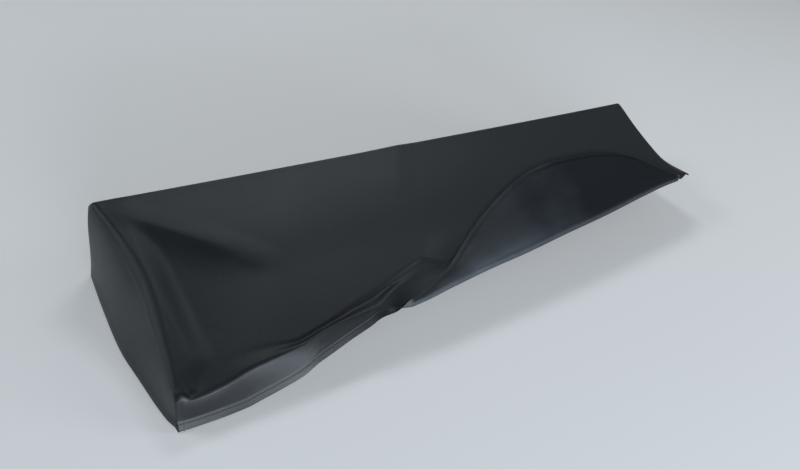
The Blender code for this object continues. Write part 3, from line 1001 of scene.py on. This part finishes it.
def stitchTree():  # small stitches along every path
    tree = bpy.data.node_groups.new("hemStitches", "GeometryNodeTree")
    tree.is_modifier = True
    tree.interface.new_socket("Geometry", in_out="INPUT", socket_type="NodeSocketGeometry")
    for name in ("Pitch", "Length", "Width"):
        tree.interface.new_socket(name, in_out="INPUT", socket_type="NodeSocketFloat")
    tree.interface.new_socket("Geometry", in_out="OUTPUT", socket_type="NodeSocketGeometry")

    def node(kind, settings=None, inputs=None):
        made = tree.nodes.new(kind)
        for name, value in (settings or {}).items():
            setattr(made, name, value)
        for name, value in (inputs or {}).items():
            if isinstance(value, bpy.types.NodeSocket):
                tree.links.new(value, made.inputs[name])
            else:
                made.inputs[name].default_value = value
        return made

    given = node("NodeGroupInput")
    curve = node("GeometryNodeMeshToCurve", None, {"Mesh": given.outputs["Geometry"]})
    spaced = node("GeometryNodeResampleCurve", {"mode": "LENGTH"},
                  {"Curve": curve.outputs[0], "Length": given.outputs["Pitch"]})
    bead = node("GeometryNodeMeshUVSphere", None, {"Segments": 6, "Rings": 4, "Radius": 0.5})
    width, length = given.outputs["Width"], given.outputs["Length"]
    size = node("ShaderNodeCombineXYZ", None, {"X": width, "Y": width, "Z": length})
    shaped = node("GeometryNodeTransform", None,
                  {"Geometry": bead.outputs[0], "Scale": size.outputs[0]})
    along = node("GeometryNodeInputTangent")
    outward = node("GeometryNodeInputNamedAttribute", {"data_type": "FLOAT_VECTOR"},
                   {"Name": "outward"})
    turned = node("FunctionNodeAxesToRotation", {"primary_axis": "Z", "secondary_axis": "X"},
                  {"Primary Axis": along.outputs[0], "Secondary Axis": outward.outputs[0]})
    placed = node("GeometryNodeInstanceOnPoints", None,
                  {"Points": spaced.outputs[0], "Instance": shaped.outputs[0],
                   "Rotation": turned.outputs[0]})
    real = node("GeometryNodeRealizeInstances", None, {"Geometry": placed.outputs[0]})
    painted = node("GeometryNodeSetMaterial", None,
                   {"Geometry": real.outputs[0], "Material": thread})
    node("NodeGroupOutput", None, {"Geometry": painted.outputs[0]})
    return tree


def makeStitches():
    rows, ways, links = [], [], []
    lifted = cloth["thickness"] / 2 - stitch["sunk"]
    for path, out in stitchPaths():
        for side in (1, -1):        # both faces of the cloth
            start = len(rows)
            rows.extend(path + out * side * lifted)
            ways.extend(out * side)
            links.extend((k, k + 1) for k in range(start, len(rows) - 1))
    guide = bpy.data.meshes.new("stitchGuide")
    guide.from_pydata([tuple(p) for p in rows], links, [])
    guide.attributes.new("outward", "FLOAT_VECTOR", "POINT").data.foreach_set(
        "vector", np.array(ways, dtype=np.float32).ravel())
    guideObject = bpy.data.objects.new("stitchGuide", guide)
    bpy.context.scene.collection.objects.link(guideObject)
    tree = stitchTree()
    maker = guideObject.modifiers.new("stitches", "NODES")
    maker.node_group = tree
    sizes = {"Pitch": stitch["pitch"], "Length": stitch["length"], "Width": stitch["width"]}
    for item in tree.interface.items_tree:
        if item.in_out == "INPUT" and item.name in sizes:
            maker[item.identifier] = sizes[item.name]
    whole = guideObject.evaluated_get(bpy.context.evaluated_depsgraph_get())
    stitchMesh = bpy.data.meshes.new_from_object(whole)
    bpy.data.objects.remove(guideObject, do_unlink=True)
    stitchMesh.name = "hemStitches"
    if not stitchMesh.materials:
        stitchMesh.materials.append(thread)
    stitchMesh.polygons.foreach_set("use_smooth", [True] * len(stitchMesh.polygons))
    made = bpy.data.objects.new("hemStitches", stitchMesh)
    bpy.context.scene.collection.objects.link(made)
    print("stitch faces", len(stitchMesh.polygons))
    return made


stitches = makeStitches()
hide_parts("dust_cover")
for piece in (cover, stitches):
    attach(piece, "root")
print("cover placed")


studio = {
    "floorColour": (0.90, 0.90, 0.90, 1),
    "floorGlow": 0.19,
    "floorSize": 4.0,
    "worldColour": (0.74, 0.80, 0.87, 1),
    "worldStrength": 0.06,
    "lens": 41.265,
    "sensor": 36.0,
    "place": (-0.75146, -0.85578, 0.73106),
    "turn": (55.268, -8.031, -32.347),
    "lights": (
        # name, place, target, width, height, watts, colour
        ("rightLight", (2.40, -0.90, 1.50), (0.0, 0.0, 0.0), 1.2, 1.2, 7.0, (0.92, 0.96, 1.0)),
        ("lowRightLight", (1.70, -1.55, 0.34), (0.0, 0.0, 0.0), 1.0, 0.4, 13.0, (0.84, 0.93, 1.0)),
        ("farRightLight", (2.20, 1.20, 1.60), (0.0, 0.0, 0.0), 1.4, 1.0, 1.6, (0.88, 0.95, 1.0)),
        ("backLight", (0.56, 1.30, 1.70), (0.0, 0.0, 0.0), 0.8, 0.5, 7.0, (0.86, 0.94, 1.0)),
        ("leftLight", (-1.50, 0.84, 1.44), (0.0, 0.0, 0.0), 0.7, 0.6, 7.0, (0.82, 0.92, 1.0)),
        ("lowLeftLight", (-1.90, 1.50, 0.20), (0.0, 0.0, 0.0), 0.8, 0.3, 3.0, (0.78, 0.90, 1.0)),
        ("frontLight", (-0.45, -2.40, 0.30), (0.0, 0.0, 0.0), 1.9, 0.5, 64.0, (0.78, 0.90, 1.0)),
    ),
}


def makeFloor():
    finish = Finish("paleFloor")
    finish.steady(Base_Color=studio["floorColour"], Roughness=0.9, Specular_IOR_Level=0.1,
                  Emission_Color=(1, 1, 1, 1), Emission_Strength=studio["floorGlow"])
    side, low = studio["floorSize"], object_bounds()[0][2]
    floorMesh = bpy.data.meshes.new("floor")
    corners = [(x * side, y * side, low) for x, y in ((-1, -1), (1, -1), (1, 1), (-1, 1))]
    floorMesh.from_pydata(corners, [], [(0, 1, 2, 3)])
    floorMesh.materials.append(finish.material)
    floor = bpy.data.objects.new("floor", floorMesh)
    bpy.context.scene.collection.objects.link(floor)


def makeLights():
    for name, spot, target, width, height, watts, colour in studio["lights"]:
        light = bpy.data.lights.new(name, "AREA")
        light.shape, light.size, light.size_y = "RECTANGLE", width, height
        light.energy, light.color = watts, colour
        lamp = bpy.data.objects.new(name, light)
        lamp.location = spot
        lamp.rotation_euler = (Vector(target) - Vector(spot)).to_track_quat("-Z", "Y").to_euler()
        bpy.context.scene.collection.objects.link(lamp)
    world = bpy.data.worlds.new("studio")
    world.use_nodes = True
    sky = world.node_tree.nodes["Background"]
    sky.inputs["Color"].default_value = studio["worldColour"]
    sky.inputs["Strength"].default_value = studio["worldStrength"]
    bpy.context.scene.world = world
    bpy.context.scene.view_settings.view_transform = "Standard"


def makeCamera():
    lens = bpy.data.cameras.new("camera")
    lens.lens, lens.sensor_width, lens.sensor_fit = studio["lens"], studio["sensor"], "HORIZONTAL"
    lens.clip_start, lens.clip_end = 0.01, 50.0
    camera = bpy.data.objects.new("camera", lens)
    camera.location = studio["place"]
    camera.rotation_euler = [math.radians(a) for a in studio["turn"]]
    bpy.context.scene.collection.objects.link(camera)
    bpy.context.scene.camera = camera


makeFloor()
makeLights()
makeCamera()
print("floor, lights and camera set")
